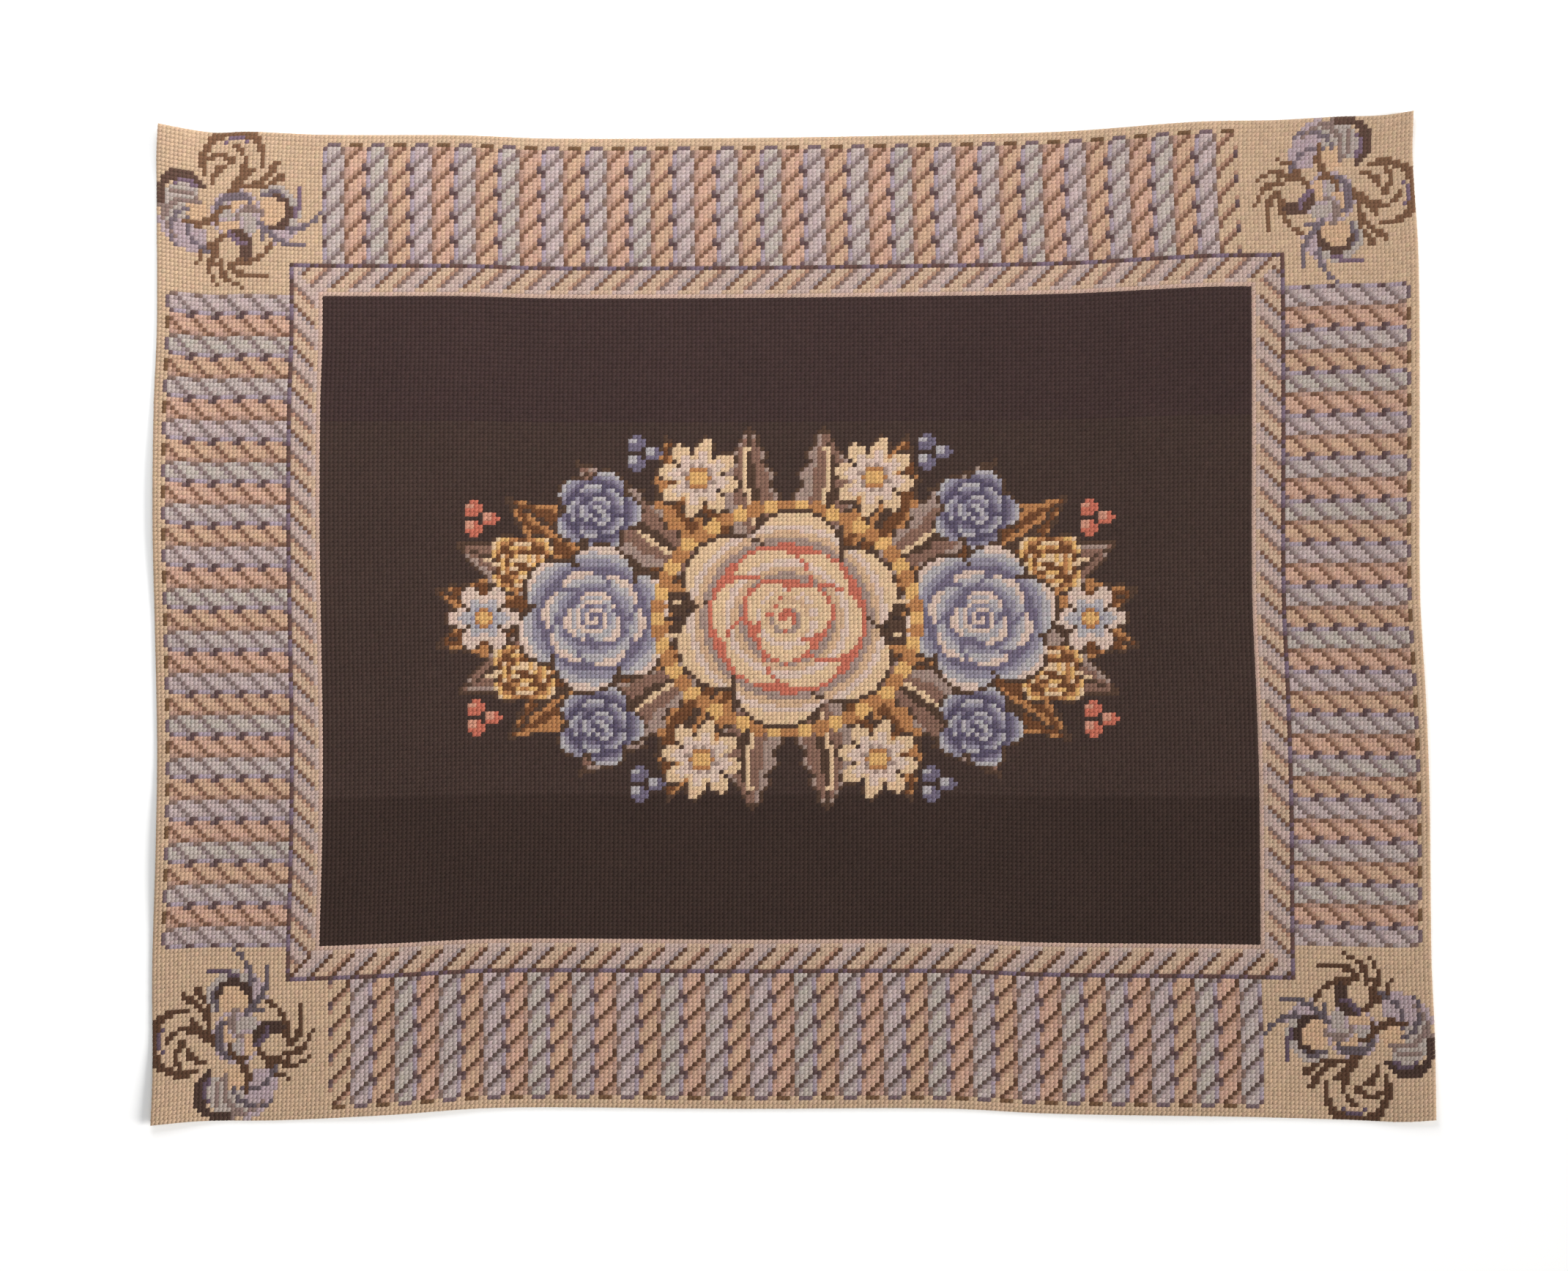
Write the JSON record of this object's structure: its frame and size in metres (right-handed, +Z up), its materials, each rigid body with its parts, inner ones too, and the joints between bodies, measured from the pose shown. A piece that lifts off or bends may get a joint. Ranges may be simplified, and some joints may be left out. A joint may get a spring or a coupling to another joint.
{
  "type": "cross-stitch rug",
  "caption": "Flat rectangular rug worked in wool cross-stitch on canvas, with twisted-rope borders, curled leaves in the corners and an oval of flowers on a dark middle, its edges turned under",
  "frame": {"origin": "middle of the rug's outline, on the floor under it", "axes": "+X along the rug's long side, +Y towards its top border, +Z up from the floor through the stitched face"},
  "size_m": [1.2138, 0.9582, 0.0112],
  "materials": {
    "stitched_wool": "matt wool cross-stitch over the whole face, in browns, tans and blue-greys",
    "dark_wool": "matt dark brown wool cross-stitch",
    "border_wool": "matt tan and blue-grey wool cross-stitch with brown lines",
    "motif_wool": "matt wool cross-stitch in cream, coral, gold, browns and slate blue",
    "rug_canvas": "plain cotton canvas with the backs of the wool stitches"
  },
  "bodies": {
    "root": {"rug": "stitched_wool"}
  },
  "joints": []
}
